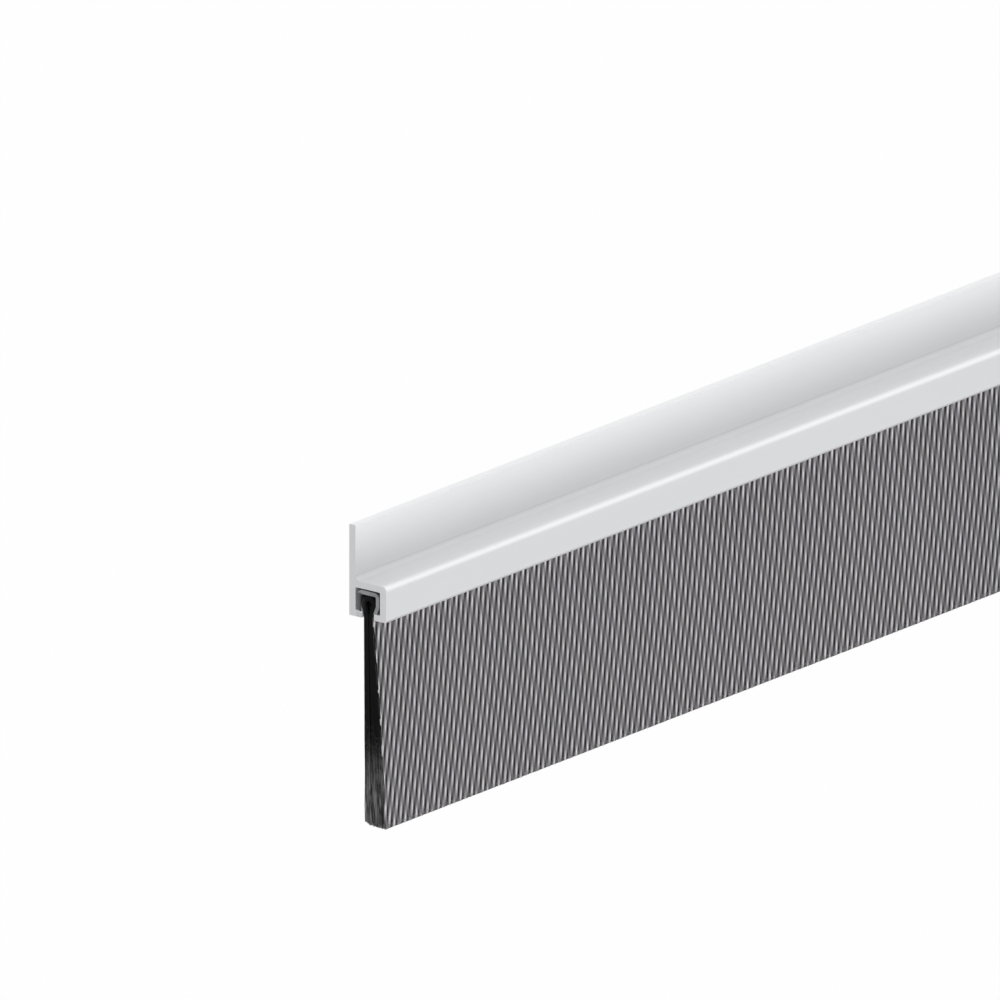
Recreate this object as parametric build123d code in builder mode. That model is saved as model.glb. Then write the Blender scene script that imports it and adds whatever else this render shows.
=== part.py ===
"""Brush seal strip: an aluminium carrier with a strip brush slid into its channel.

Millimetres. X runs along the strip, the front looks towards -Y and +Z is up.
The origin is the middle of the carrier's flat back, which lies against the door.
"""

import os

from build123d import *

os.makedirs("parts", exist_ok=True)

# Overall
length = 1000.0  # one stock length, both ends sawn square
exposed_bristle = 50.0  # bristle below the carrier

# Bristles, folded in half over the core wire
wire_diameter = 1.5
wire_setback = 2.0  # the wire is nipped off this far inside each end
neck_thickness = 2.9  # both halves of the fold, where they leave the backing
tip_thickness = 6.4  # the free ends spread out
rear_trim = 0.8  # the tips at the back are cut this much shorter
rear_lean = 0.3  # how far the rear face comes forward on its way down
lock_pitch = 2.06  # the filaments gather in upright locks
lock_relief = 0.3  # height of a lock over the groove beside it
lock_layer = 0.5  # thickness of the outer layer that gathers so
lock_inset = 0.05  # the locks start this much inside the mouth's bundle

# Backing channel, sheet metal closed over the fold
sheet = 0.95
sheet_bend = 0.4  # inner radius of the bends
leg_straight = 0.1  # upright part of each leg below the wire's middle
crimp_height = 1.9  # lowest part of each leg, pressed in against the bristles
grip_clearance = 0.05  # bristles to sheet

# Carrier, one aluminium extrusion
flange_thickness = 1.8
flange_rise = 13.4  # flange above the channel
front_wall = 1.8
top_wall = 1.55
lip_thickness = 1.5
bend_radius = 1.4  # inside corner where the flange meets the channel
front_round = 0.9  # outer edge along the top of the front wall
edge_round = 0.3  # the other long edges outside
pocket_round = 0.25  # corners inside the channel

# Play of the brush in its channel
rear_play = 0.55
front_play = 0.25
head_play = 0.35
slot_play = 0.25  # bristles to each lip

# Widths across the strip
fold_radius = wire_diameter / 2 + neck_thickness / 2
backing_inside = 2 * (fold_radius + grip_clearance)
backing_width = backing_inside + 2 * sheet
mouth_inside = neck_thickness + 2 * grip_clearance
pocket_width = rear_play + backing_width + front_play
slot_width = neck_thickness + 2 * slot_play

# Heights
backing_height = crimp_height + leg_straight + fold_radius + grip_clearance + sheet
pocket_height = backing_height + head_play
channel_height = top_wall + pocket_height + lip_thickness
carrier_height = flange_rise + channel_height

# Levels, from the top down
flange_top = carrier_height / 2
channel_top = flange_top - flange_rise
pocket_top = channel_top - top_wall
lip_top = pocket_top - pocket_height
carrier_bottom = lip_top - lip_thickness
tip_level = carrier_bottom - exposed_bristle
rear_tip_level = tip_level + rear_trim
crimp_level = lip_top + crimp_height
wire_level = crimp_level + leg_straight

# Places from the back, at zero, to the front
flange_front = -flange_thickness
pocket_front = flange_front - pocket_width
carrier_front = pocket_front - front_wall
brush_middle = flange_front - rear_play - backing_width / 2
slot_rear = brush_middle + slot_width / 2
slot_front = brush_middle - slot_width / 2
tip_rear = brush_middle + neck_thickness / 2 - rear_lean
tip_front = tip_rear - tip_thickness
tip_middle = (tip_rear + tip_front) / 2

# Cross-sections are drawn in (y, z) and extruded both ways along X
cross_section = Plane((0, 0, 0), x_dir=(0, 1, 0), z_dir=(1, 0, 0))


def long_edge(part, y, z):
    """The edge along the strip that passes nearest to this place in the section."""
    return part.edges().filter_by(Axis.X).sort_by_distance((0, y, z))[0]


def lock_row(face, side):
    """Outline from above of the locks on one face; side is 1 at the rear and -1 in front."""
    count = max(1, round(length / lock_pitch))
    step = length / count
    root = face - side * lock_layer
    groove_level = face - side * lock_relief
    outline = [(-length / 2, root)]
    for index in range(count):
        groove = index * step - length / 2
        outline += [(groove, groove_level), (groove + step / 2, face)]
    return outline + [(length / 2, groove_level), (length / 2, root)]


# Carrier: the flange lies on the door and the channel below it holds the brush
with BuildPart() as carrier_profile:
    with BuildSketch(cross_section):
        with BuildLine():
            Polyline(
                (0, carrier_bottom),
                (0, flange_top),
                (flange_front, flange_top),
                (flange_front, channel_top),
                (carrier_front, channel_top),
                (carrier_front, carrier_bottom),
                (slot_front, carrier_bottom),
                (slot_front, lip_top),
                (pocket_front, lip_top),
                (pocket_front, pocket_top),
                (flange_front, pocket_top),
                (flange_front, lip_top),
                (slot_rear, lip_top),
                (slot_rear, carrier_bottom),
                close=True,
            )
        make_face()
    extrude(amount=length / 2, both=True)
    fillet(long_edge(carrier_profile, flange_front, channel_top), bend_radius)
    fillet(long_edge(carrier_profile, carrier_front, channel_top), front_round)
    outside_corners = [
        (0, flange_top),
        (flange_front, flange_top),
        (carrier_front, carrier_bottom),
        (slot_front, carrier_bottom),
        (slot_rear, carrier_bottom),
    ]
    fillet([long_edge(carrier_profile, y, z) for y, z in outside_corners], edge_round)
    pocket_corners = [
        (pocket_front, lip_top),
        (pocket_front, pocket_top),
        (flange_front, pocket_top),
        (flange_front, lip_top),
    ]
    fillet([long_edge(carrier_profile, y, z) for y, z in pocket_corners], pocket_round)

carrier_profile.part.label = "carrier_profile"
export_step(carrier_profile.part, "parts/carrier_profile.step")

# Backing channel: a sheet folded over the bristles, its legs crimped in and cut level
with BuildPart() as backing_channel:
    with BuildSketch(cross_section):
        half_inside = backing_inside / 2
        half_mouth = mouth_inside / 2
        crimp_slope = (half_inside - half_mouth) / crimp_height
        leg_end = half_mouth - crimp_slope * sheet
        ceiling = lip_top + backing_height - sheet
        with BuildLine() as inside:
            folded = FilletPolyline(
                (brush_middle + leg_end, lip_top - sheet),
                (brush_middle + half_inside, crimp_level),
                (brush_middle + half_inside, ceiling),
                (brush_middle - half_inside, ceiling),
                (brush_middle - half_inside, crimp_level),
                (brush_middle - leg_end, lip_top - sheet),
                radius=sheet_bend,
            )
            Line(folded @ 1, folded @ 0)
        make_face()
        offset(amount=sheet, mode=Mode.REPLACE)
        make_face(inside.edges(), mode=Mode.SUBTRACT)
    extrude(amount=length / 2, both=True)
    split(bisect_by=Plane.XY.offset(lip_top), keep=Keep.TOP)

backing_channel.part.label = "backing_channel"
export_step(backing_channel.part, "parts/backing_channel.step")

# Core wire: lies in the fold and stops short of both ends
wire_end = length / 2 - wire_setback
with BuildPart() as core_wire:
    with BuildSketch(cross_section):
        with Locations((brush_middle, wire_level)):
            Circle(wire_diameter / 2)
    extrude(amount=wire_end, both=True)

core_wire.part.label = "core_wire"
export_step(core_wire.part, "parts/core_wire.step")

# Bristles: a head folded over the wire, and below it a curtain that spreads downwards
half_neck = neck_thickness / 2
half_gathered = half_neck - lock_inset
half_core = half_gathered - lock_layer
with BuildPart() as bristles:
    with BuildSketch(cross_section):
        with BuildLine():
            Polyline(
                (brush_middle + fold_radius, wire_level),
                (brush_middle + fold_radius, crimp_level),
                (brush_middle + half_neck, lip_top),
                (brush_middle + half_core, lip_top),
                (tip_rear - lock_layer, rear_tip_level),
                (tip_middle, tip_level),
                (tip_front + lock_layer, tip_level),
                (brush_middle - half_core, lip_top),
                (brush_middle - half_neck, lip_top),
                (brush_middle - fold_radius, crimp_level),
                (brush_middle - fold_radius, wire_level),
            )
            ThreePointArc(
                (brush_middle - fold_radius, wire_level),
                (brush_middle, wire_level + fold_radius),
                (brush_middle + fold_radius, wire_level),
            )
        make_face()
    extrude(amount=length / 2, both=True)
    with BuildSketch(cross_section):
        with Locations((brush_middle, wire_level)):
            Circle(wire_diameter / 2)
    extrude(amount=wire_end, both=True, mode=Mode.SUBTRACT)
    for side, tip_face, end_level in ((1, tip_rear, rear_tip_level), (-1, tip_front, tip_level)):
        top_face = brush_middle + side * half_gathered
        with BuildSketch(Plane.XY.offset(lip_top)):
            with BuildLine():
                Polyline(*lock_row(top_face, side), close=True)
            make_face()
        fall = Vector(0, tip_face - top_face, end_level - lip_top)
        extrude(amount=fall.length, dir=fall.normalized())

bristles.part.label = "bristles"
export_step(bristles.part, "parts/bristles.step")
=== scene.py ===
"""Looks of a brush seal strip: carrier profile, crimped backing, core wire and nylon bristles.

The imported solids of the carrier, the backing and the wire stay as they are and get their finishes
here. The solid that stands for the bristles is replaced by a packed core folded over the wire,
upright crimped filaments on both faces, the short ends that the underside shows, and the folded
filaments of the two cut ends. X runs along the strip, the front faces -Y and Z points up. Sizes
are in millimetres, as in the drawing of the part, and meshes in metres.
"""

import logging
import math
from collections.abc import Callable, Mapping
from dataclasses import dataclass, field
from enum import Enum

import bmesh
import bpy
import numpy as np
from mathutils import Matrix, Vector


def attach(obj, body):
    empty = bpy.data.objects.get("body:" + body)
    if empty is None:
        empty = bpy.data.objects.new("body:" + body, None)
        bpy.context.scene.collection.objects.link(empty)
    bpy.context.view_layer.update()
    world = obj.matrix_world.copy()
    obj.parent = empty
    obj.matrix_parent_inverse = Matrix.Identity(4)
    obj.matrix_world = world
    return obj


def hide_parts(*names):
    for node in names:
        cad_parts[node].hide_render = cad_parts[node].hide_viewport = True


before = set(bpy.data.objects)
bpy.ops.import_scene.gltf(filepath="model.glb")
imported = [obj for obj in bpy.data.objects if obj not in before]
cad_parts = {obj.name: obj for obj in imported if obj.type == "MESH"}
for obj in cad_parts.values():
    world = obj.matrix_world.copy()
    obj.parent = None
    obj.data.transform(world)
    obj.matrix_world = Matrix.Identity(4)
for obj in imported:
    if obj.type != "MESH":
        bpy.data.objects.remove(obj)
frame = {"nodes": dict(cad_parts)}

LOG = logging.getLogger("brush_seal")
MM = 0.001
HALF_LENGTH = 500.0
NEAR = 0.05  # a surface this close to a plane lies in it, in mm

Colour = tuple[float, float, float, float]
Triple = tuple[float, float, float]
Span = tuple[float, float]


class Face(Enum):
    """The two broad faces of the brush."""

    FRONT = "front"
    REAR = "rear"


class End(Enum):
    """The two cut ends of the strip, by the sign of X."""

    LEFT = -1.0
    RIGHT = 1.0


class Signal:
    """A shader socket that takes part in Python expressions."""

    def __init__(self, bench: "NodeBench", socket: bpy.types.NodeSocket) -> None:
        """Wraps a socket.

        Args:
            bench: The bench whose tree the socket belongs to.
            socket: The output socket.
        """
        self.bench = bench
        self.socket = socket

    def _math(self, operation: str, *values: "Signal | float") -> "Signal":
        """Adds one Math node and returns its output."""
        inputs = dict(enumerate(values))
        return self.bench.node("ShaderNodeMath", {"operation": operation}, inputs)

    def __add__(self, other: "Signal | float") -> "Signal":
        """Sum."""
        return self._math("ADD", self, other)

    def __radd__(self, other: float) -> "Signal":
        """Sum with a number on the left."""
        return self._math("ADD", other, self)

    def __sub__(self, other: "Signal | float") -> "Signal":
        """Difference."""
        return self._math("SUBTRACT", self, other)

    def __rsub__(self, other: float) -> "Signal":
        """Difference from a number."""
        return self._math("SUBTRACT", other, self)

    def __mul__(self, other: "Signal | float") -> "Signal":
        """Product."""
        return self._math("MULTIPLY", self, other)

    def __rmul__(self, other: float) -> "Signal":
        """Product with a number on the left."""
        return self._math("MULTIPLY", other, self)

    def __truediv__(self, other: "Signal | float") -> "Signal":
        """Quotient."""
        return self._math("DIVIDE", self, other)

    def __gt__(self, other: "Signal | float") -> "Signal":
        """One where this is the greater, else zero."""
        return self._math("GREATER_THAN", self, other)

    def __lt__(self, other: "Signal | float") -> "Signal":
        """One where this is the smaller, else zero."""
        return self._math("LESS_THAN", self, other)

    def __abs__(self) -> "Signal":
        """Size without its sign."""
        return self._math("ABSOLUTE", self)

    def fraction(self) -> "Signal":
        """Part after the decimal point."""
        return self._math("FRACT", self)

    def cosine(self) -> "Signal":
        """Cosine of an angle in radians."""
        return self._math("COSINE", self)

    def power(self, exponent: float) -> "Signal":
        """This raised to a power."""
        return self._math("POWER", self, exponent)

    def largest(self, other: "Signal | float") -> "Signal":
        """The larger of the two."""
        return self._math("MAXIMUM", self, other)

    def beside(self, output: int | str) -> "Signal":
        """Another output of the same node."""
        return Signal(self.bench, self.socket.node.outputs[output])

    def ramp(self, start: float, stop: float) -> "Signal":
        """Eases from 0 at start to 1 at stop.

        Args:
            start: Value that gives 0.
            stop: Value that gives 1. It may lie below start.

        Returns:
            The eased signal.
        """
        low, high = min(start, stop), max(start, stop)
        eased = self.bench.node(
            "ShaderNodeMapRange",
            {"interpolation_type": "SMOOTHSTEP"},
            {"Value": self, "From Min": low, "From Max": high},
        )
        return eased if stop > start else 1 - eased

    def slope(self, start: float, stop: float) -> "Signal":
        """Runs straight from 0 at start to 1 at stop.

        Args:
            start: Value that gives 0.
            stop: Value that gives 1. It may lie below start.

        Returns:
            The signal, kept within 0 and 1.
        """
        return self.bench.node(
            "ShaderNodeMapRange",
            {"interpolation_type": "LINEAR", "clamp": True},
            {"Value": self, "From Min": start, "From Max": stop},
        )


class NodeBench:
    """One node tree and the calls that put nodes in it."""

    def __init__(self, tree: bpy.types.NodeTree) -> None:
        """Clears the tree.

        Args:
            tree: The node tree of a material or a world.
        """
        self.tree = tree
        self.tree.nodes.clear()

    def node(
        self,
        kind: str,
        settings: Mapping[str, object] | None = None,
        inputs: Mapping[str | int, object] | None = None,
        output: int | str = 0,
    ) -> Signal:
        """Makes a node.

        Args:
            kind: The node's type.
            settings: Its own settings.
            inputs: Values or signals for its sockets, by name or number.
            output: The output that is handed back, by name or number.

        Returns:
            The chosen output as a signal.
        """
        made = self.tree.nodes.new(kind)
        for key, value in (settings or {}).items():
            setattr(made, key, value)
        for key, value in (inputs or {}).items():
            if isinstance(value, Signal):
                self.tree.links.new(value.socket, made.inputs[key])
            else:
                made.inputs[key].default_value = value
        return Signal(self, made.outputs[output])

    def close(self, kind: str, surface: Signal) -> None:
        """Joins a shader to the tree's output node, which is of the given type."""
        target = self.tree.nodes.new(kind)
        self.tree.links.new(surface.socket, target.inputs["Surface"])

    def sees_backdrop(self) -> Signal:
        """One for the rays that meet the white backdrop, else zero.

        Returns:
            The mask of camera, glossy and transmission rays.
        """
        camera = self.node("ShaderNodeLightPath", output="Is Camera Ray")
        glossy = camera.beside("Is Glossy Ray")
        through = camera.beside("Is Transmission Ray")
        return camera.largest(glossy).largest(through)


class MaterialBench(NodeBench):
    """One material, with its Object coordinates at hand in millimetres."""

    def __init__(self, name: str) -> None:
        """Starts a material.

        Args:
            name: Name of the material.
        """
        self.material = bpy.data.materials.new(name)
        self.material.use_nodes = True
        super().__init__(self.material.node_tree)
        coordinates = self.node("ShaderNodeTexCoord", output="Object")
        parts = self.node("ShaderNodeSeparateXYZ", inputs={0: coordinates})
        self.place = (parts / MM, parts.beside(1) / MM, parts.beside(2) / MM)

    def vector(self, x: Signal | float, y: Signal | float, z: Signal | float) -> Signal:
        """Joins three signals into one vector."""
        return self.node("ShaderNodeCombineXYZ", inputs={0: x, 1: y, 2: z})

    def mark(self, name: str) -> Signal:
        """Reads a number that the piece's mesh carries."""
        return self.node("ShaderNodeAttribute", {"attribute_name": name}, output="Fac")

    def noise(self, vector: Signal, detail: float, scale: float = 1.0) -> Signal:
        """Cloudy noise from 0 to 1.

        Args:
            vector: Where it is read.
            detail: Number of finer layers.
            scale: Cells to one unit of the vector.

        Returns:
            The noise value.
        """
        inputs = {"Vector": vector, "Scale": scale, "Detail": detail}
        return self.node("ShaderNodeTexNoise", inputs=inputs)

    def grain(self, cells: Triple, detail: float) -> Signal:
        """Noise that is stretched along the axes.

        Args:
            cells: Cells to one millimetre along X, Y and Z.
            detail: Number of finer layers.

        Returns:
            The noise value.
        """
        x, y, z = (place * share for place, share in zip(self.place, cells))
        return self.noise(self.vector(x, y, z), detail)

    def colour(self, level: Signal, tint: Triple) -> Signal:
        """Turns a level into a colour.

        Args:
            level: The brightness.
            tint: Shares of it that red, green and blue get.

        Returns:
            The colour.
        """
        inputs = {number: level * share for number, share in enumerate(tint)}
        return self.node("ShaderNodeCombineColor", inputs=inputs)

    def blend(self, factor: Signal, first: Colour, second: Colour) -> Signal:
        """Blends two colours.

        Args:
            factor: 0 gives the first, 1 the second.
            first: Colour at 0.
            second: Colour at 1.

        Returns:
            The blended colour.
        """
        settings = {"data_type": "RGBA", "clamp_factor": True}
        return self.node("ShaderNodeMix", settings, {0: factor, 6: first, 7: second}, output=2)

    def bump(self, height: Signal, depth: float, strength: float) -> Signal:
        """Turns a height from 0 to 1 into a normal.

        Args:
            height: The height signal.
            depth: Depth of the relief in mm.
            strength: Share of the relief that shows.

        Returns:
            The normal.
        """
        inputs = {"Height": height, "Distance": depth * MM, "Strength": strength}
        return self.node("ShaderNodeBump", inputs=inputs)

    def finish(self, **sockets: object) -> bpy.types.Material:
        """Closes the material with a Principled shader.

        Args:
            sockets: Its inputs, with spaces in their names written as underscores.

        Returns:
            The finished material.
        """
        named = {key.replace("_", " "): value for key, value in sockets.items()}
        return self.finish_with(self.node("ShaderNodeBsdfPrincipled", inputs=named))

    def finish_with(self, shader: Signal) -> bpy.types.Material:
        """Closes the material with a given shader."""
        self.close("ShaderNodeOutputMaterial", shader)
        return self.material


def grey(level: float, tint: Triple = (1.0, 1.0, 1.0)) -> Colour:
    """A grey, or one with a tint, as a linear colour."""
    return (level * tint[0], level * tint[1], level * tint[2], 1.0)


@dataclass(frozen=True)
class SatinAluminium:
    """Satin anodised extrusion with die lines along its length and sawn ends.

    Levels are shares of full brightness, and places are in mm. Several of them are painted shade
    and painted highlights. A span runs from where something starts to where it is complete.

    Attributes:
        level: Level of the front wall.
        metal: Metallic share.
        roughness: Middle roughness.
        tint: Shares of red, green and blue.
        flange_face: Depth of the flange's front.
        flange_band: Distance within which a surface belongs to that front.
        flange_foot: Height where its painted shade begins to lighten.
        flange_head: Height of its top edge.
        foot_margin: How far its painted shade reaches below the foot.
        foot_level: Level at the foot, darkened with painted shade.
        head_level: Level at the head, lightened with painted light.
        top_level: Level of the top edge, lightened with painted light.
        top_span: Where the top edge's level sets in, over the head.
        arris_span: Where painted shade dims the arris, over the head.
        arris_drop: How much it dims.
        ledge_up: Height of the channel's flat top.
        ledge_band: How far the ledge's level reaches below it.
        bend_radius: Inside radius of the bend at the flange's foot.
        bend_level: Level where the bend begins, darkened with painted shade.
        bend_rises: Start, stop and rise of each step by which that painted shade lightens round the
            bend.
        ledge_span: Depths over which painted light lightens the flat top towards its front.
        ledge_rise: How much it lightens.
        edge_across: Depth of the middle of the painted highlight on the round edge.
        edge_up: Height of the highlight's middle.
        edge_reach: Squared distance from it where the highlight ends.
        edge_core: Share of that distance where the highlight is full.
        edge_side: Span of height less depth that keeps the highlight on the outside.
        edge_level: Level of the painted highlight.
        under_span: Heights over which painted shade darkens the foot of the front wall.
        under_front: Depth in front of which it does.
        under_drop: How much darker it turns.
        line_marks: Contrast of the die lines.
        back_lines: How much stronger they are on the back.
        back_bands: Contrast of the broad bands on the back.
        cloud_marks: Contrast of the clouds.
        grain_marks: Contrast of the grain.
        sawn_shade_level: Level of the sawn ends, darkened with painted shade.
        sawn_span: Depths over which painted light lightens a sawn end.
        sawn_rise: How much it lightens.
        saw_marks: Contrast of the saw's scores.
        lip_under: Height under which the rear lip lies in shade.
        lip_depths: Depths between which it does.
        lip_drop: How much darker it is.
    """

    level: float = 0.825
    metal: float = 0.35
    roughness: float = 0.46
    tint: Triple = (0.992, 1.0, 1.016)
    flange_face: float = -1.8
    flange_band: float = 0.06
    flange_foot: float = -0.6
    flange_head: float = 11.0
    foot_margin: float = 0.4
    foot_level: float = 0.638
    head_level: float = 0.972
    top_level: float = 1.0
    top_span: Span = (-0.07, -0.01)
    arris_span: Span = (-0.36, -0.2)
    arris_drop: float = 0.1
    ledge_up: float = -2.4
    ledge_band: float = 0.12
    bend_radius: float = 1.4
    bend_level: float = 0.547
    bend_rises: tuple[Triple, ...] = (
        (0.0, 0.2, 0.006),
        (0.2, 0.46, 0.054),
        (0.46, 0.75, 0.079),
        (0.75, 0.85, 0.042),
        (0.85, 1.12, 0.062),
    )
    ledge_span: Span = (-7.2, -9.2)
    ledge_rise: float = 0.04
    edge_across: float = -10.05
    edge_up: float = -3.05
    edge_reach: float = 1.15
    edge_core: float = 0.55
    edge_side: Span = (6.95, 7.35)
    edge_level: float = 0.915
    under_span: Span = (-10.3, -10.7)
    under_front: float = -10.2
    under_drop: float = 0.2
    line_marks: float = 0.05
    back_lines: float = 0.25
    back_bands: float = 0.2
    cloud_marks: float = 0.03
    grain_marks: float = 0.02
    sawn_shade_level: float = 0.765
    sawn_span: Span = (-8.6, -10.8)
    sawn_rise: float = 0.02
    saw_marks: float = 0.09
    lip_under: float = -9.8
    lip_depths: Span = (-4.5, -2.0)
    lip_drop: float = 0.12

    def material(self) -> bpy.types.Material:
        """Builds the material for the carrier's own coordinates.

        Returns:
            The material.
        """
        bench = MaterialBench("satin_aluminium")
        x, y, z = bench.place
        die_lines = bench.grain((0.004, 9.0, 9.0), 3.0)
        grain = bench.grain((3.0, 9.0, 9.0), 2.0)
        cloud = bench.grain((0.02, 0.1, 0.1), 2.0)
        bands = bench.grain((0.002, 0.0, 1.3), 2.0)
        saw = self._saw_scores(bench)
        cut = abs(x) > HALF_LENGTH - NEAR
        back = y > -NEAR

        # Level of the walls with painted light: painted shade at the flange's foot and in the bend,
        # painted light up the flange and on its top edge.
        walls_with_painted_light = self._wall_and_flange(y, z)
        walls_with_painted_light = walls_with_painted_light + (self._ledge(y, z) - walls_with_painted_light) * self._on_ledge(y, z)
        # Painted highlight on the round edge between the channel's top and front.
        walls_with_painted_light = walls_with_painted_light + (self.edge_level - walls_with_painted_light) * self._painted_edge_highlight(y, z)
        # Painted shade at the foot of the front wall.
        walls_with_painted_light = walls_with_painted_light - z.ramp(*self.under_span) * (y < self.under_front) * self.under_drop
        marks = (die_lines - 0.5) * (self.line_marks + back * self.back_lines)
        marks = marks + (cloud - 0.5) * self.cloud_marks + (grain - 0.5) * self.grain_marks
        marks = marks + (bands - 0.5) * back * self.back_bands
        # The sawn ends get painted shade, lighter towards the front, with the saw's scores and the
        # lip's shade.
        sawn = self.sawn_shade_level + y.slope(*self.sawn_span) * self.sawn_rise
        sawn = sawn + (saw - 0.5) * self.saw_marks - self._lip_shade(y, z)
        level = (walls_with_painted_light + marks) * (1 - cut) + sawn * cut

        rough = self.roughness + (die_lines - 0.5) * 0.16 + (saw - 0.5) * cut * 0.2
        relief = (die_lines * 0.6 + grain * 0.4) * (1 - cut) + saw * cut
        return bench.finish(
            Base_Color=bench.colour(level, self.tint),
            Metallic=self.metal,
            Roughness=rough,
            Normal=bench.bump(relief, 0.04, 0.35),
        )

    def _wall_and_flange(self, y: Signal, z: Signal) -> Signal:
        """Level of the plain walls, and of the flange with its painted shade and light, its arris
        and its top edge.
        """
        in_face = abs(y - self.flange_face) < self.flange_band
        on_flange = in_face * (z > self.flange_foot - self.foot_margin)
        # Painted shade at the flange's foot, rising to painted light at its head.
        climb = z.slope(self.flange_foot, self.flange_head)
        flange = self.foot_level + climb * (self.head_level - self.foot_level)
        # Painted light on the top edge, and painted shade that dims the arris below it.
        top = z.ramp(*(self.flange_head + height for height in self.top_span))
        arris = z.ramp(*(self.flange_head + height for height in self.arris_span))
        flange = flange - arris * self.arris_drop
        flange = flange + (self.top_level - flange) * top
        return self.level + (flange - self.level) * on_flange.largest(top)

    def _ledge(self, y: Signal, z: Signal) -> Signal:
        """Level round the bend at the flange's foot, in painted shade, and on the flat top of the
        channel.
        """
        # Painted shade in the bend, lightening round it, and painted light on the flat top towards
        # its front.
        drop = self.ledge_up + self.bend_radius - z
        turned = (drop + self.flange_face - y) / (2 * self.bend_radius)
        level = y.slope(*self.ledge_span) * self.ledge_rise + self.bend_level
        for start, stop, rise in self.bend_rises:
            level = level + turned.slope(start, stop) * rise
        return level

    def _on_ledge(self, y: Signal, z: Signal) -> Signal:
        """Mask of the bend and of the flat top of the channel."""
        low = (z < self.ledge_up + self.bend_radius) * (z > self.ledge_up - self.ledge_band)
        return low * (y < self.flange_face + self.flange_band)

    def _painted_edge_highlight(self, y: Signal, z: Signal) -> Signal:
        """Mask of the painted highlight on the round edge between the channel's top and front."""
        across, up = y - self.edge_across, z - self.edge_up
        squared = across * across + up * up
        outside = (z - y).ramp(*self.edge_side)
        return squared.ramp(self.edge_reach, self.edge_reach * self.edge_core) * outside

    def _lip_shade(self, y: Signal, z: Signal) -> Signal:
        """Shade on the sawn end of the rear lip."""
        rear, front = max(self.lip_depths), min(self.lip_depths)
        return (z < self.lip_under) * (y > front) * (y < rear) * self.lip_drop

    @staticmethod
    def _saw_scores(bench: MaterialBench) -> Signal:
        """Fine slanted scores that a saw leaves on the cut ends."""
        _, y, z = bench.place
        drift = bench.noise(bench.vector(y, z, 0.0), 1.0, scale=0.35)
        phase = (y * 0.9 + z * 0.42 + drift * 2.4) * 1.6
        ripple = abs(phase.fraction() - 0.5) * 2.0
        scratch = bench.noise(bench.vector(y * 5.0 + z * 2.3, z * 0.6, 0.0), 3.0)
        return ripple * 0.35 + scratch * 0.65


@dataclass(frozen=True)
class ZincSheet:
    """Galvanised steel sheet with a faint spangle and shaded sheared ends.

    Attributes:
        level: Middle level.
        metal: Metallic share.
        roughness: Middle roughness.
        tint: Shares of red, green and blue.
        spangle: Cells of the spangle to one millimetre.
        marks: Contrast of the spangle and of the wear.
        shaded_leg: Depth where the rear leg is darkest.
        open_leg: Depth where it is least dark.
        leg_margin: How far its shade reaches in front of it.
        leg_under: Height under which the leg's shade begins.
        leg_shade: Share of light that the whole leg loses.
        deep_shade: Share that its darkest side loses besides.
    """

    level: float = 0.28
    metal: float = 0.75
    roughness: float = 0.42
    tint: Triple = (0.97, 0.99, 1.02)
    spangle: float = 0.45
    marks: float = 0.10
    shaded_leg: float = -3.45
    open_leg: float = -2.25
    leg_margin: float = 0.1
    leg_under: float = -5.1
    leg_shade: float = 0.38
    deep_shade: float = 0.45

    def material(self) -> bpy.types.Material:
        """Builds the material for the backing's own coordinates.

        Returns:
            The material.
        """
        bench = MaterialBench("zinc_sheet")
        x, y, z = bench.place
        spots = {"Vector": bench.vector(x, y, z), "Scale": self.spangle}
        cells = bench.node("ShaderNodeTexVoronoi", {"feature": "F1"}, spots, output="Color")
        spangle = bench.node("ShaderNodeSeparateColor", inputs={0: cells})
        wear = bench.grain((0.3, 2.0, 2.0), 4.0)
        rolled = bench.grain((0.01, 7.0, 7.0), 2.0)
        level = self.level + (spangle - 0.5) * self.marks + (wear - 0.5) * self.marks
        sheared = abs(x) > HALF_LENGTH - NEAR
        leg = (y > self.shaded_leg - self.leg_margin) * (z < self.leg_under)
        depth = y.slope(self.open_leg, self.shaded_leg) * self.deep_shade + self.leg_shade
        level = level * (1 - sheared + sheared * (1 - depth * leg))
        return bench.finish(
            Base_Color=bench.colour(level, self.tint),
            Metallic=self.metal,
            Roughness=self.roughness + (spangle - 0.5) * 0.2,
            Normal=bench.bump(rolled * 0.5 + wear * 0.5, 0.04, 0.4),
        )


@dataclass(frozen=True)
class DrawnSteel:
    """Drawn wire with fine lines along it.

    Attributes:
        level: Level of the clean metal.
        roughness: Middle roughness.
        stain: Shares of red, green and blue that a stain leaves.
    """

    level: float = 0.46
    roughness: float = 0.34
    stain: Triple = (0.82, 0.78, 0.72)

    def material(self) -> bpy.types.Material:
        """Builds the material for the wire's own coordinates.

        Returns:
            The material.
        """
        bench = MaterialBench("drawn_steel")
        lines = bench.grain((0.02, 14.0, 14.0), 3.0)
        stained = bench.grain((0.08, 0.8, 0.8), 3.0)
        return bench.finish(
            Base_Color=bench.blend(stained, grey(self.level), grey(self.level, self.stain)),
            Metallic=1.0,
            Roughness=self.roughness + (lines - 0.5) * 0.3,
            Normal=bench.bump(lines, 0.02, 0.5),
        )


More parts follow.
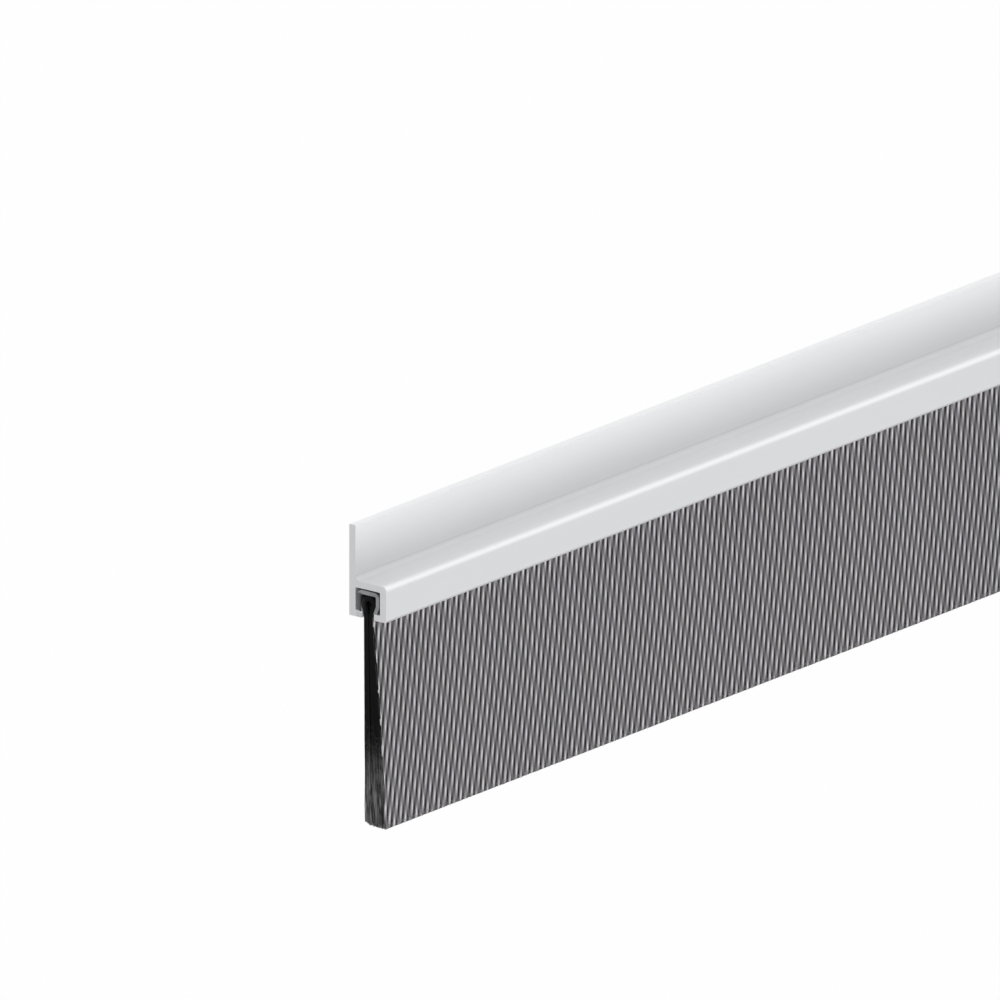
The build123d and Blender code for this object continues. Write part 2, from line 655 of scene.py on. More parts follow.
@dataclass(frozen=True)
class Crimp:
    """How the crests of the crimped filaments line up over a face of the brush.

    Attributes:
        row_pitch: Spacing along the strip of the leaning rows of crests, in mm.
        full_pitch: Spacing along the strip of the fuller upright rows, in mm.
        lean: Sideways run of a row of crests towards the left end for each mm down.
        row_shift: Place of the first row's middle past the left end, in mm.
        full_shift: Place of the first fuller row's middle past the left end, in mm.
        depth: How far a filament's crest stands over its valley, in mm.
        row_share: Share of the height that a leaning row adds or takes.
        full_share: Share of the height that a fuller row adds or takes.
    """

    row_pitch: float = 2.0555
    full_pitch: float = 1.3854
    lean: float = 0.285
    row_shift: float = 0.9
    full_shift: float = 0.5
    depth: float = 0.22
    row_share: float = 0.33
    full_share: float = 0.17

    def rise(self, root: np.ndarray, down: np.ndarray) -> np.ndarray:
        """Height of the filaments over their valleys.

        Args:
            root: Their distances from the left end, in mm.
            down: Distances below the root of the brush, in mm.

        Returns:
            The heights as shares of the depth, about 0 to 1.
        """
        row = np.cos(2 * np.pi * (root - self.row_shift + down * self.lean) / self.row_pitch)
        full = np.cos(2 * np.pi * (root - self.full_shift) / self.full_pitch)
        return 0.5 + row * self.row_share + full * self.full_share


@dataclass(frozen=True)
class CrimpedNylon:
    """Grey nylon with painted highlights on its crests and painted shade in its valleys.

    Attributes:
        crimp: Where the crests are.
        root_up: Height of the root of the brush, in mm.
        mean: Middle brightness on screen, from 0 to 1.
        row_swing: Swing of the painted highlight and shade over a leaning row.
        full_swing: Swing of the painted highlight and shade over an upright row.
        joint_swing: How much that swing grows on crests and in valleys.
        tone_swing: Difference between the palest and the darkest filament.
        fibre_swing: Contrast of the fibre.
        darkest: Least brightness on screen.
        gamma: Power that turns brightness on screen into light.
        sheen: Light that gloss adds everywhere.
        gain: Paint level for one unit of light.
        least: Least paint level.
        mouth: Heights over which painted light lightens the paint up to the carrier's mouth.
        mouth_lift: How much lighter it is there.
        tips: Heights over which painted light lightens the paint down to the tips.
        tip_lift: How much lighter it is there.
        tint: Shares of red, green and blue.
        roughness: Middle roughness.
    """

    crimp: Crimp
    root_up: float = -11.0
    mean: float = 0.453
    row_swing: float = 0.205
    full_swing: float = 0.125
    joint_swing: float = 0.045
    tone_swing: float = 0.06
    fibre_swing: float = 0.04
    darkest: float = 0.05
    gamma: float = 2.2
    sheen: float = 0.012
    gain: float = 1.45
    least: float = 0.004
    mouth: Span = (-18.0, -11.0)
    mouth_lift: float = 0.48
    tips: Span = (-57.5, -60.5)
    tip_lift: float = 0.2
    tint: Triple = (1.005, 0.975, 1.02)
    roughness: float = 0.5

    def material(self) -> bpy.types.Material:
        """Builds the material from the height and each filament's own place and tone.

        Returns:
            The material.
        """
        bench = MaterialBench("nylon_crimped")
        _, _, z = bench.place
        tone, root = bench.mark("tone"), bench.mark("root")
        crimp = self.crimp
        down = self.root_up - z
        row = root - crimp.row_shift + down * crimp.lean
        row = (row * (2 * math.pi / crimp.row_pitch)).cosine()
        full = ((root - crimp.full_shift) * (2 * math.pi / crimp.full_pitch)).cosine()
        joint = (row * row * 2.0 - 1.0) * self.joint_swing + self.full_swing
        fibre = bench.grain((6.0, 6.0, 0.5), 2.0)
        # Painted highlights on the crests and painted shade in the valleys, with each filament's
        # own tone and fibre.
        bright = row * self.row_swing + full * joint + self.mean
        bright = bright + (tone - 0.5) * self.tone_swing + (fibre - 0.5) * self.fibre_swing
        level = (bright.largest(self.darkest).power(self.gamma) - self.sheen) * self.gain
        # Painted light against the carrier's shadow at its mouth, and at the tips.
        lift = z.ramp(*self.mouth) * self.mouth_lift + z.ramp(*self.tips) * self.tip_lift
        level = level.largest(self.least) * (1 + lift)
        return bench.finish(
            Base_Color=bench.colour(level, self.tint),
            Roughness=self.roughness + (fibre - 0.5) * 0.2,
            Specular_IOR_Level=0.15,
            Normal=bench.bump(fibre, 0.02, 0.4),
        )


@dataclass(frozen=True)
class ShadeNylon:
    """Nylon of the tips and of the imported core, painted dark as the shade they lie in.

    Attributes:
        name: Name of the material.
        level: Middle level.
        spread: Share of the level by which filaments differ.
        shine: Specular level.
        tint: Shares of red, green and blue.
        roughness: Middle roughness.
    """

    name: str
    level: float
    spread: float
    shine: float
    tint: Triple = (1.02, 1.0, 1.03)
    roughness: float = 0.55

    def material(self) -> bpy.types.Material:
        """Builds the material from Object coordinates and the filament's own tone.

        Returns:
            The material.
        """
        bench = MaterialBench(self.name)
        fibre = bench.grain((5.0, 5.0, 0.3), 3.0)
        mixed = bench.mark("tone") * 0.5 + fibre * 0.5
        level = self.level * (1 - self.spread * 0.5) + mixed * (self.level * self.spread)
        return bench.finish(
            Base_Color=bench.colour(level, self.tint),
            Roughness=self.roughness + (fibre - 0.5) * 0.2,
            Specular_IOR_Level=self.shine,
            Normal=bench.bump(fibre, 0.06, 0.6),
        )


@dataclass(frozen=True)
class CutEndNylon:
    """Nylon seen on the cut ends, painted black as shade where it is packed and grey where the tips
    fan out.

    Places are in mm. A span runs from where something starts to where it is complete.

    Attributes:
        packed: Level where the filaments are packed, painted near black as shade.
        fanned: Level where they fan out.
        fan_span: Heights over which they fan out.
        clump_span: Noise over which a clump opens.
        clump_least: Share of openness that is left between clumps.
        rear_depths: Depths over which the painted shade of the rear edge sets in.
        rear_heights: Heights over which it sets in.
        rear_drop: Share of openness that it loses.
        parting_span: Width of a parting between clumps, in noise.
        parting_least: Share of openness that is left in a parting, which lies in painted shade.
        tone_least: Level of the darkest filament, as a share.
        tone_swing: How much paler the palest is.
        head_span: Depths over which light reaches the head.
        jaws_up: Height of the backing's jaws.
        head_glow: Level that the light adds there.
        loop_count: Loops to one unit of noise.
        loop_span: Distance from a loop's line over which it shows.
        loop_above: Heights over which the loops set in.
        loop_below: Heights over which they end, read upwards.
        loop_level: Level that a loop adds.
        tint: Shares of red, green and blue.
        roughness: Middle roughness.
    """

    packed: float = 0.006
    fanned: float = 0.33
    fan_span: Span = (-38.0, -59.0)
    clump_span: Span = (0.34, 0.54)
    clump_least: float = 0.42
    rear_depths: Span = (-5.3, -4.8)
    rear_heights: Span = (-56.5, -51.0)
    rear_drop: float = 0.9
    parting_span: Span = (0.0, 0.06)
    parting_least: float = 0.12
    tone_least: float = 0.6
    tone_swing: float = 0.7
    head_span: Span = (-4.7, -3.3)
    jaws_up: float = -9.6
    head_glow: float = 0.05
    loop_count: float = 9.0
    loop_span: Span = (0.34, 0.5)
    loop_above: Span = (-35.0, -39.0)
    loop_below: Span = (-58.0, -50.0)
    loop_level: float = 0.05
    tint: Triple = (1.01, 1.0, 1.02)
    roughness: float = 0.6

    def material(self) -> bpy.types.Material:
        """Builds the material from Object coordinates and the filament's own tone.

        Returns:
            The material.
        """
        bench = MaterialBench("nylon_cut_end")
        _, y, z = bench.place
        # Painted shade where the filaments are packed, with their own grey where they fan out.
        level = self.packed + self._openness(bench) * (self.fanned - self.packed) * (
            self.tone_least + bench.mark("tone") * self.tone_swing
        )
        level = level + y.slope(*self.head_span) * (z > self.jaws_up) * self.head_glow
        swirl = bench.grain((0.1, 0.5, 0.2), 0.0) * self.loop_count
        loops = abs(swirl.fraction() - 0.5).ramp(*self.loop_span)
        loops = loops * z.ramp(*self.loop_above) * z.ramp(*self.loop_below)
        level = level + loops * self.loop_level
        fibre = bench.grain((5.0, 5.0, 0.5), 2.0)
        return bench.finish(
            Base_Color=bench.colour(level, self.tint),
            Roughness=self.roughness + (fibre - 0.5) * 0.2,
            Specular_IOR_Level=0.1,
            Normal=bench.bump(fibre, 0.03, 0.5),
        )

    def _openness(self, bench: MaterialBench) -> Signal:
        """How far the filaments have fanned out, from 0 to 1, with clumps, and with painted shade
        in partings and along the rear edge.
        """
        _, y, z = bench.place
        clump = bench.grain((1.0, 0.55, 0.16), 2.0).ramp(*self.clump_span)
        share = z.ramp(*self.fan_span) * (self.clump_least + clump * (1 - self.clump_least))
        rear = y.ramp(*self.rear_depths) * z.ramp(*self.rear_heights)
        share = share * (1 - rear * self.rear_drop)
        parting = abs(bench.grain((1.0, 1.1, 0.07), 2.0) - 0.5).ramp(*self.parting_span)
        return share * (self.parting_least + parting * (1 - self.parting_least))


class Workpiece:
    """A mesh that is shaped in edit mode, one operator at a time."""

    def __init__(self, name: str, add: Callable[[], object]) -> None:
        """Adds a primitive and opens it for editing.

        Args:
            name: Name of the piece.
            add: Call that adds the primitive.
        """
        bpy.ops.object.select_all(action="DESELECT")
        add()
        self.body = bpy.context.object
        self.body.name = name
        self.body.data.name = name
        bpy.ops.object.mode_set(mode="EDIT")

    def pick_edges(self, wanted: Callable[[Vector], bool]) -> None:
        """Selects edges by place.

        Args:
            wanted: True for the middle of an edge that is wanted.
        """
        mesh = bmesh.from_edit_mesh(self.body.data)
        bpy.context.tool_settings.mesh_select_mode = (False, True, False)
        mesh.select_mode = {"EDGE"}
        for part in (*mesh.faces, *mesh.edges, *mesh.verts):
            part.select = False
        for edge in mesh.edges:
            edge.select_set(bool(wanted((edge.verts[0].co + edge.verts[1].co) / 2)))
        mesh.select_flush_mode()
        bmesh.update_edit_mesh(self.body.data)

    def set_edge(self, x: float, y_low: float, y_high: float, z: float) -> None:
        """Lays the two ends of the selected edge at exact places.

        Args:
            x: Place along the strip.
            y_low: Smaller depth.
            y_high: Larger depth.
            z: Height.
        """
        mesh = bmesh.from_edit_mesh(self.body.data)
        picked = sorted((v for v in mesh.verts if v.select), key=lambda v: (v.co.y, v.co.x))
        for vertex, y in zip(picked, (y_low, y_high)):
            vertex.co = (x, y, z)
        bmesh.update_edit_mesh(self.body.data)

    def extrude(self, move: Triple) -> None:
        """Extrudes what is selected and moves it."""
        bpy.ops.mesh.extrude_region_move(TRANSFORM_OT_translate={"value": move})

    def close(self) -> bpy.types.Object:
        """Makes the faces point outwards and leaves edit mode.

        Returns:
            The object.
        """
        bpy.ops.mesh.select_all(action="SELECT")
        bpy.ops.mesh.normals_make_consistent(inside=False)
        bpy.ops.object.mode_set(mode="OBJECT")
        return self.body

    def repeat(self, count: int) -> None:
        """Copies the closed piece count times in one mesh, all in one place."""
        array = self.body.modifiers.new("copies", "ARRAY")
        array.count = count
        array.use_relative_offset = False
        array.use_constant_offset = True
        array.constant_offset_displace = (0.0, 0.0, 0.0)
        bpy.ops.object.modifier_apply(modifier=array.name)


@dataclass
class Filament:
    """One nylon filament, modelled once and laid many times.

    Attributes:
        radius: Half its thickness in mm.
        rings: Number of sections from end to end.
        sides: Corners of its section.
    """

    radius: float
    rings: int
    sides: int = 4

    def lay(
        self, name: str, paths: np.ndarray, thin: np.ndarray, marks: Mapping[str, np.ndarray]
    ) -> bpy.types.Object:
        """Lays copies of the filament along paths.

        Args:
            name: Name of the piece.
            paths: Points of each copy in mm, as copies x rings x 3.
            thin: Share of the radius at each ring, for all copies or for each.
            marks: Attributes of each copy at each ring by name, as copies x rings.

        Returns:
            The piece.
        """
        piece = Workpiece(name, self._section)
        for _ in range(self.rings - 1):
            piece.extrude((0.0, 0.0, -MM))
        body = piece.close()
        count = len(body.data.vertices)
        template = np.empty(count * 3)
        body.data.vertices.foreach_get("co", template)
        template = template.reshape(count, 3) / MM
        ring = np.rint(-template[:, 2]).astype(int)
        piece.repeat(len(paths))

        along = np.gradient(paths, axis=1)
        along /= np.linalg.norm(along, axis=2, keepdims=True)
        side = np.cross(along, np.array([1.0, 0.0, 0.0]))
        side /= np.linalg.norm(side, axis=2, keepdims=True)
        across = np.cross(along, side)
        reach = np.atleast_2d(thin)[:, ring][:, :, None]
        spots = paths[:, ring, :]
        spots = spots + across[:, ring, :] * template[:, 0][None, :, None] * reach
        spots = spots + side[:, ring, :] * template[:, 1][None, :, None] * reach
        body.data.vertices.foreach_set("co", (spots * MM).reshape(-1))
        for label, mark in marks.items():
            values = body.data.attributes.new(label, "FLOAT", "POINT")
            values.data.foreach_set("value", mark[:, ring].reshape(-1).astype(np.float32))
        body.data.update()
        bpy.ops.object.shade_smooth()
        return body

    def _section(self) -> None:
        """Adds the root section."""
        bpy.ops.mesh.primitive_circle_add(
            vertices=self.sides, radius=self.radius * MM, fill_type="NGON"
        )


@dataclass(frozen=True)
class CurtainShape:
    """Where the bristles run, in mm, seen on the end of the strip.

    Attributes:
        middle: Depth of the core wire's axis.
        wire_up: Height of the core wire's axis.
        fold: Radius of the outermost filament over the wire.
        wire: Radius of the core wire.
        root: Height where the bristles leave the carrier.
        jaws: Height of the backing's jaws.
        length: Length of bristle below the root.
        neck_front: Depth of the front face at the root.
        tip_front: Depth of the front face at the tips.
        neck_rear: Depth of the rear face at the root.
        tip_rear: Depth of the rear face at the tips.
        bow: How far the front face swells between root and tips.
        bow_power: How much that swell keeps to the middle.
        rear_trim: How much shorter the rear tips are.
        tip_inset: How much shorter than the solid the filaments of the faces are.
    """

    middle: float = -5.55
    wire_up: float = -7.5
    fold: float = 2.12
    wire: float = 0.75
    root: float = -11.0
    jaws: float = -9.6
    length: float = 50.0
    neck_front: float = -7.0
    tip_front: float = -10.8
    neck_rear: float = -4.1
    tip_rear: float = -4.4
    bow: float = 0.38
    bow_power: float = 1.5
    rear_trim: float = 0.8
    tip_inset: float = 0.05

    def face(self, side: Face, down: np.ndarray) -> np.ndarray:
        """Depth of a face.

        Args:
            side: Which face.
            down: Distances below the root.

        Returns:
            The depths.
        """
        share = np.clip(down / self.length, 0.0, 1.0)
        if side is Face.REAR:
            return self.neck_rear + (self.tip_rear - self.neck_rear) * share
        swell = self.bow * np.sin(np.pi * share) ** self.bow_power
        return self.neck_front + (self.tip_front - self.neck_front) * share - swell

    def inward(self, side: Face) -> float:
        """Sign of Y that leads from a face into the brush."""
        return 1.0 if side is Face.FRONT else -1.0

    def tip_height(self, side: Face) -> float:
        """Length of the outermost filaments of a face."""
        return self.length - ((side is Face.REAR) * self.rear_trim + self.tip_inset)


@dataclass
class BristleCurtain:
    """Everything that stands for the bristles: core, faces, tips and cut ends.

    Sizes are in mm.

    Attributes:
        shape: Where the bristles run.
        crimp: How their crests line up.
        seed: Start of the random draws.
        spacing: Distance between the filaments of a face.
        radius: Half the thickness of those filaments.
        rings: Sections of each of them.
        end_gap: Least distance between a filament and the end of the strip.
        wander: How far they stray from even spacing.
        core_end: How far the core stops inside each end.
        core_gap: Distance between the core and the wire.
        core_cover: Thickness of filament over the core's fold.
        core_seam: Half the gap between the two legs of the core.
        core_inset: Thickness of filament over the core's legs.
        neck_inset: The same in the carrier's mouth.
        core_levels: Heights of the core's sections below the jaws.
        core_tone: Tone of the core, from 0 to 1.
    """

    shape: CurtainShape = field(default_factory=CurtainShape)
    crimp: Crimp = field(default_factory=Crimp)
    seed: int = 7
    spacing: float = 0.32
    radius: float = 0.17
    rings: int = 16
    end_gap: float = 0.02
    wander: float = 0.02
    core_end: float = 0.95
    core_gap: float = 0.03
    core_cover: float = 0.35
    core_seam: float = 0.02
    core_inset: float = 0.85
    neck_inset: float = 0.62
    core_levels: tuple[float, ...] = (-11.0, -20.0, -30.0, -40.0, -50.0, -60.25)
    core_tone: float = 0.4

    def build(self) -> list[bpy.types.Object]:
        """Builds and dresses every bristle piece.

        Returns:
            The pieces.
        """
        self.random = np.random.default_rng(self.seed)
        crimped = CrimpedNylon(self.crimp).material()
        cut = CutEndNylon().material()
        # The core is painted near black and the tips dark grey, as painted shade.
        finished = [(self.core(), ShadeNylon("nylon_core_shade", 0.012, 0.8, 0.12).material())]
        finished += [(body, crimped) for side in Face for body in self.face_filaments(side)]
        finished.append((self.tips(), ShadeNylon("nylon_tips", 0.19, 1.0, 0.25).material()))
        finished += [(self.cut_end(end), cut) for end in End]
        for body, material in finished:
            body.data.materials.append(material)
        return [body for body, _ in finished]

    def core(self) -> bpy.types.Object:
        """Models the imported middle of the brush, folded over the wire.

        Returns:
            The core piece.
        """
        shape = self.shape
        middle, up = shape.middle * MM, shape.wire_up * MM
        inner = (shape.wire + self.core_gap) * MM
        outer = (shape.fold - self.core_cover) * MM
        start = -(HALF_LENGTH - self.core_end) * MM
        seam = self.core_seam * MM

        piece = Workpiece("bristle_core", lambda: bpy.ops.mesh.primitive_plane_add(size=1.0))
        piece.pick_edges(lambda spot: spot.y < -0.4)
        piece.set_edge(start, middle - inner - MM, middle - seam, shape.jaws * MM)
        piece.pick_edges(lambda spot: spot.y > 0.4)
        piece.set_edge(start, middle - outer, middle - inner, up)
        bpy.ops.mesh.spin(
            steps=12, angle=-math.pi, center=(start, middle, up), axis=(1.0, 0.0, 0.0)
        )
        self._leg(piece, Face.FRONT, start, shape.jaws * MM)
        self._leg(piece, Face.REAR, start, up)
        bpy.ops.mesh.select_all(action="SELECT")
        piece.extrude((-2 * start, 0.0, 0.0))
        body = piece.close()
        tone = body.data.attributes.new("tone", "FLOAT", "POINT")
        tones = np.full(len(body.data.vertices), self.core_tone, np.float32)
        tone.data.foreach_set("value", tones)
        return body

    def _leg(self, piece: Workpiece, side: Face, start: float, top: float) -> None:
        """Draws one leg of the core's section down from the fold.

        Args:
            piece: The piece being edited.
            side: Face that the leg lies under.
            start: Place of the section along the strip, in metres.
            top: Height of the edge that the leg hangs from, in metres.
        """
        shape = self.shape
        outward = -shape.inward(side)
        seam = self.core_seam * MM
        middle = shape.middle * MM
        piece.pick_edges(
            lambda spot: abs(spot.z - top) < seam and (spot.y - middle) * outward > 0
        )
        for level in (shape.jaws, *self.core_levels):
            down = np.array([max(shape.root - level, 0.0)])
            inset = self.core_inset if level < shape.root else self.neck_inset
            far = float(shape.face(side, down)[0]) - outward * inset
            near = shape.middle + outward * self.core_seam
            if side is Face.REAR or level != shape.jaws:
                piece.extrude((0.0, 0.0, -MM))
            piece.set_edge(start, min(far, near) * MM, max(far, near) * MM, level * MM)

    def face_filaments(self, side: Face) -> list[bpy.types.Object]:
        """Lays the upright filaments of a face.

        Args:
            side: Which face.

        Returns:
            Two pieces, one for each half of the strip.
        """
        limit = HALF_LENGTH - self.radius - self.end_gap
        places = np.linspace(-limit, limit, int(2 * limit / self.spacing) + 1)
        filament = Filament(self.radius, self.rings)
        pieces = []
        for number, half in enumerate(np.array_split(places, 2), 1):
            x = np.clip(half + self.random.normal(0.0, self.wander, len(half)), -limit, limit)
            paths, marks = self._crimped(side, x)
            thin = np.ones_like(marks["tone"])
            thin[:, -1] = 0.92
            pieces.append(filament.lay(f"{side.value}_bristles_{number}", paths, thin, marks))
        return pieces

    def _crimped(self, side: Face, x: np.ndarray) -> tuple[np.ndarray, dict[str, np.ndarray]]:
        """Paths of crimped filaments, with a point on every crest and in every valley.

        Args:
            side: Which face they lie on.
            x: Their places along the strip.

        Returns:
            The paths, and the filament's place and tone at each point.
        """
        crimp, shape = self.crimp, self.shape
        enter, least_step, settled = -1.4, 0.01, 4.0
        full = shape.tip_height(side) + self.random.uniform(-0.09, 0.0, len(x))
        root = x + HALF_LENGTH
        half_wave = crimp.row_pitch / crimp.lean / 2
        first = enter + np.mod((crimp.row_shift - root) / crimp.lean - enter, half_wave)
        order = np.arange(self.rings)[None, :]
        down = first[:, None] + (order - 1) * half_wave
        down = np.maximum(down, enter + order * least_step)
        down = np.minimum(down, full[:, None] - (self.rings - 1 - order) * least_step)
        down[:, 0] = enter
        down[:, -1] = full
        valley = 1 - crimp.rise(root[:, None], down)
        sunk = crimp.depth * valley * np.clip(down / settled, 0.0, 1.0)
        y = shape.face(side, down) + shape.inward(side) * (self.radius + 0.01 + sunk)
        even = np.zeros_like(down)
        paths = np.stack([x[:, None] + even, y, shape.root - down], axis=2)
        tone = np.clip(0.5 + self.random.normal(0.0, 0.14, len(x)), 0.0, 1.0)
        return paths, {"tone": tone[:, None] + even, "root": root[:, None] + even}

    def tips(self) -> bpy.types.Object:
        """Lays the short ends that the underside of the brush shows.

        Returns:
            The piece.
        """
        shape, draw = self.shape, self.random
        rows, pitch, wander, margin = 8, 0.78, 0.25, 0.26
        close_pitch, close_inset = 0.44, 0.42
        front, rear = shape.tip_front + 0.55, shape.tip_rear - 0.6
        top, rear_end, front_rise, lowest = -60.0, -60.2, 0.66, -60.97

        along = np.arange(-HALF_LENGTH + 0.35, HALF_LENGTH - 0.25, pitch)
        share = (np.arange(rows) + 0.5) / rows
        x, s = np.meshgrid(along, share, indexing="ij")
        x = x + draw.uniform(-wander, wander, x.shape)
        x = np.clip(x, margin - HALF_LENGTH, HALF_LENGTH - margin)
        s = np.clip(s + draw.uniform(-0.035, 0.035, s.shape), 0.03, 0.97)
        y = rear + (front - rear) * s
        end = rear_end - front_rise * np.clip(s * 1.8, 0.0, 1.0)
        end = end - draw.uniform(0.0, 0.12, s.shape)
        close = np.arange(-HALF_LENGTH + 0.4, HALF_LENGTH - 0.3, close_pitch)
        x = np.concatenate([x.ravel(), close])
        y = np.concatenate([y.ravel(), np.full(len(close), shape.tip_front + close_inset)])
        end = np.concatenate([end.ravel(), lowest + draw.uniform(0.0, 0.1, len(close))])
        tops = np.stack([x, y, np.full_like(end, top)], axis=1)
        paths = np.stack([tops, np.stack([x, y, end], axis=1)], axis=1)
        tone = draw.uniform(0.1, 0.9, len(x))[:, None] + np.zeros((1, 2))
        stub = Filament(radius=0.24, rings=2, sides=3)
        return stub.lay("bristle_tips", paths, np.array([1.0, 0.6]), {"tone": tone})

    def cut_end(self, end: End) -> bpy.types.Object:
        """Lays the filaments that show on a cut end, each folded over the wire.

        Args:
            end: Which end.

        Returns:
            The piece.
        """
        rows, layers = 3, 10
        inset, row_pitch = 0.17, 0.27
        paths, tones = [], []
        for row in range(rows):
            x = end.value * (HALF_LENGTH - inset - row_pitch * row)
            for layer in range(layers):
                share = (layer + 0.25 + 0.5 * (row % 2)) / layers
                paths.append(self._folded(x, share))
                tones.append(self.random.uniform(0.2, 0.8))
        path = np.array(paths)
        rings = path.shape[1]
        tone = np.array(tones)[:, None] + np.zeros((1, rings))
        thin = np.ones(rings)
        thin[0] = thin[-1] = 0.8
        name = f"{end.name.lower()}_cut_end"
        return Filament(0.165, rings).lay(name, path, thin, {"tone": tone})

    def _folded(self, x: float, share: float) -> np.ndarray:
        """Path of one filament from its front tip over the wire to its rear tip.

        Args:
            x: Place along the strip.
            share: 0 for the outermost filament, 1 for the one on the wire.

        Returns:
            The points of the path.
        """
        shape = self.shape
        leg, turn = 14, 9
        cover, leg_top, parting = 0.18, -0.6, -0.12
        drift = {Face.FRONT: 1.1, Face.REAR: 0.9}
        fold = shape.fold - cover
        radius = fold + (shape.wire + cover - fold) * share
        legs = {}
        for side in Face:
            tip = shape.tip_height(side) + (0.75 if side is Face.REAR else 0.0) * share
            tip += self.random.uniform(-0.14, 0.0)
            down = np.linspace(tip, leg_top, leg)
            outside = shape.face(side, down) + shape.inward(side) * cover
            centre = shape.middle + shape.inward(side) * parting
            centre = centre - drift[side] * np.clip(down / shape.length, 0, 1)
            wave = 0.10 * np.sin(down * 0.35 + self.random.uniform(0, 6.28))
            wave = wave * np.clip((down - 22) / 20, 0, 1)
            y = outside + (centre - outside) * share + wave
            legs[side] = np.stack([np.full(leg, x), y, shape.root - down], axis=1)
        angle = np.linspace(math.pi, 0.0, turn)
        arc_y = shape.middle + radius * np.cos(angle)
        arc_z = shape.wire_up + radius * np.sin(angle)
        arc = np.stack([np.full(turn, x), arc_y, arc_z], axis=1)
        return np.concatenate([legs[Face.FRONT], arc, legs[Face.REAR][::-1]], axis=0)


@dataclass
class MetalParts:
    """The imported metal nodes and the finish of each."""

    carrier: SatinAluminium = field(default_factory=SatinAluminium)
    backing: ZincSheet = field(default_factory=ZincSheet)
    wire: DrawnSteel = field(default_factory=DrawnSteel)

    def dress(self, nodes: Mapping[str, bpy.types.Object]) -> None:
        """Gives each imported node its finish.

        Args:
            nodes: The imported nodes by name.
        """
        finishes = {
            "carrier_profile": self.carrier,
            "backing_channel": self.backing,
            "core_wire": self.wire,
        }
        for name, finish in finishes.items():
            material = finish.material()
            for slot in nodes[name].material_slots:
                slot.material = material
            LOG.info("dressed %s", name)


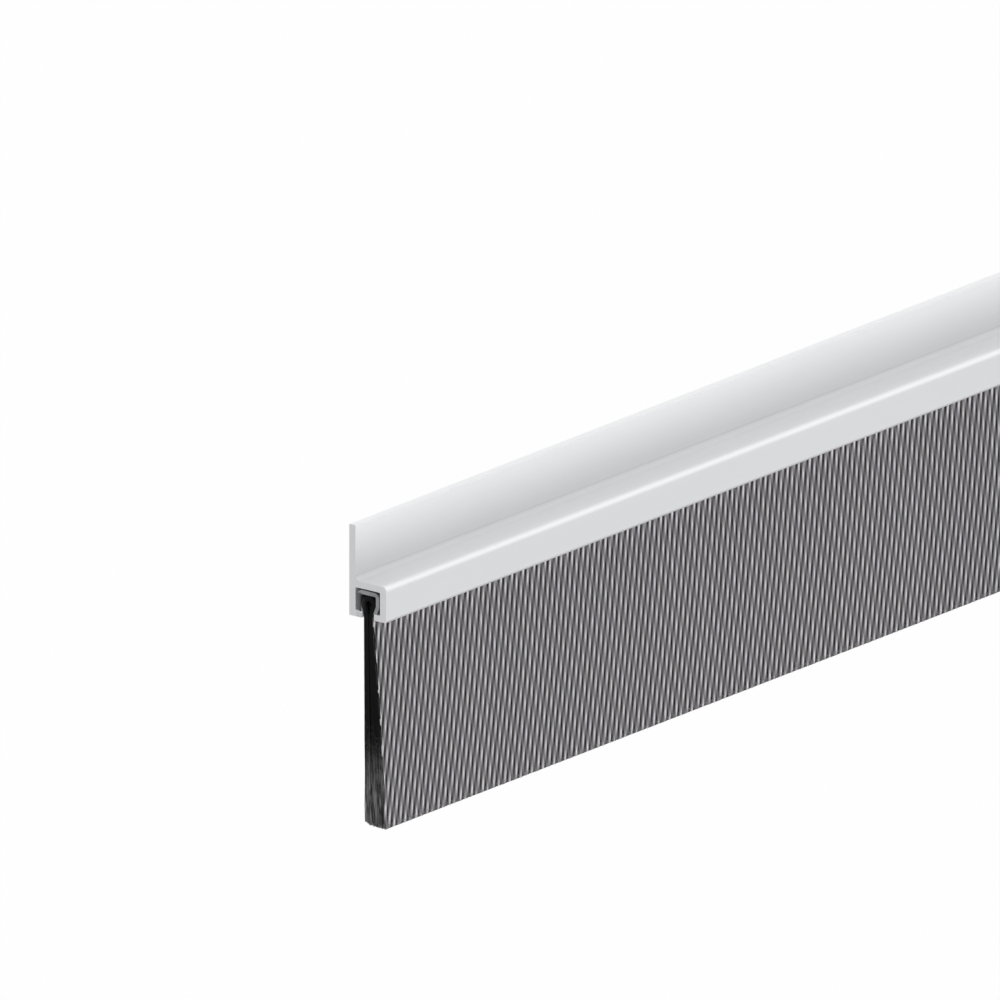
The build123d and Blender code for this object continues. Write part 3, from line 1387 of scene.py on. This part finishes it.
@dataclass
class Studio:
    """Camera, light, world and floor. Lengths are in metres and angles in degrees.

    Attributes:
        azimuth: Direction that the camera looks from, round Z.
        elevation: How far it stands above the level.
        width: Width of the view.
        across: Middle of the view to the right of the origin.
        upward: Middle of the view above the origin.
        distance: Distance of the camera.
        clip: Nearest and farthest distance that it sees.
        sun_power: Strength of the key light.
        sun_from: Direction that the key light comes from.
        sun_spread: Angle that the key light fills.
        ambient: Strength of the world's light.
        floor_size: Side of the floor.
        floor_up: Height of the floor.
        floor_level: Level of the floor.
        floor_white: How white the floor looks to the camera and in gloss.
    """

    azimuth: float = -51.8
    elevation: float = 17.75
    width: float = 0.2303
    across: float = -0.27449
    upward: float = -0.10385
    distance: float = 1.6
    clip: Span = (0.01, 20.0)
    sun_power: float = 1.40
    sun_from: Triple = (-0.10, -0.36, 0.24)
    sun_spread: float = 110.0
    ambient: float = 0.47
    floor_size: float = 6.0
    floor_up: float = -0.5
    floor_level: float = 0.8
    floor_white: float = 0.98

    def build(self) -> None:
        """Sets up everything round the strip."""
        self._camera()
        self._sun()
        self._world()
        self._floor()
        bpy.context.scene.view_settings.view_transform = "Standard"

    def _camera(self) -> None:
        """Places the camera square on the photograph's view."""
        a, e = math.radians(self.azimuth), math.radians(self.elevation)
        right = Vector((math.cos(a), math.sin(a), 0.0))
        up = Vector((-math.sin(a) * math.sin(e), math.cos(a) * math.sin(e), math.cos(e)))
        back = right.cross(up)
        lens = bpy.data.cameras.new("camera")
        lens.type = "ORTHO"
        lens.ortho_scale = self.width
        lens.clip_start, lens.clip_end = self.clip
        camera = bpy.data.objects.new("camera", lens)
        camera.location = right * self.across + up * self.upward + back * self.distance
        camera.rotation_euler = back.to_track_quat("Z", "Y").to_euler()
        bpy.context.collection.objects.link(camera)
        bpy.context.scene.camera = camera

    def _sun(self) -> None:
        """Adds one broad soft light from the front, above and a little to the left."""
        lamp = bpy.data.lights.new("key", "SUN")
        lamp.energy = self.sun_power
        lamp.angle = math.radians(self.sun_spread)
        light = bpy.data.objects.new("key", lamp)
        light.rotation_euler = Vector(self.sun_from).to_track_quat("Z", "Y").to_euler()
        bpy.context.collection.objects.link(light)

    def _world(self) -> None:
        """Lights evenly, and shows white to the camera and in gloss."""
        world = bpy.data.worlds.new("studio")
        world.use_nodes = True
        bpy.context.scene.world = world
        bench = NodeBench(world.node_tree)
        reach = {"Value": bench.sees_backdrop(), "To Min": self.ambient, "To Max": 1.0}
        strength = bench.node("ShaderNodeMapRange", inputs=reach)
        glow = {"Color": grey(1.0), "Strength": strength}
        bench.close("ShaderNodeOutputWorld", bench.node("ShaderNodeBackground", inputs=glow))

    def _floor(self) -> None:
        """Lays a pale floor well below the strip."""
        spot = (0.0, 0.0, self.floor_up)
        piece = Workpiece(
            "floor", lambda: bpy.ops.mesh.primitive_plane_add(size=self.floor_size, location=spot)
        )
        bpy.ops.mesh.subdivide(number_cuts=4)
        body = piece.close()
        bench = MaterialBench("pale_floor")
        level = self.floor_level + (bench.grain((0.01, 0.01, 0.0), 2.0) - 0.5) * 0.02
        colour = bench.colour(level, (1.0, 1.0, 1.0))
        matt = bench.node("ShaderNodeBsdfDiffuse", inputs={"Color": colour})
        glow = bench.node("ShaderNodeEmission", inputs={"Color": grey(1.0), "Strength": 1.0})
        shares = {0: bench.sees_backdrop() * self.floor_white, 1: matt, 2: glow}
        mixed = bench.node("ShaderNodeMixShader", inputs=shares)
        body.data.materials.append(bench.finish_with(mixed))


def main() -> None:
    """Builds the strip's looks in order and reports each piece."""
    logging.basicConfig(level=logging.INFO, format="%(name)s: %(message)s")
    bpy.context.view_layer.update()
    Studio().build()
    MetalParts().dress(frame["nodes"])
    for piece in BristleCurtain().build():
        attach(piece, "root")
        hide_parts("bristles")
        triangles = sum(len(face.vertices) - 2 for face in piece.data.polygons)
        LOG.info("built %s, %d triangles", piece.name, triangles)


if __name__ == "__main__":
    main()
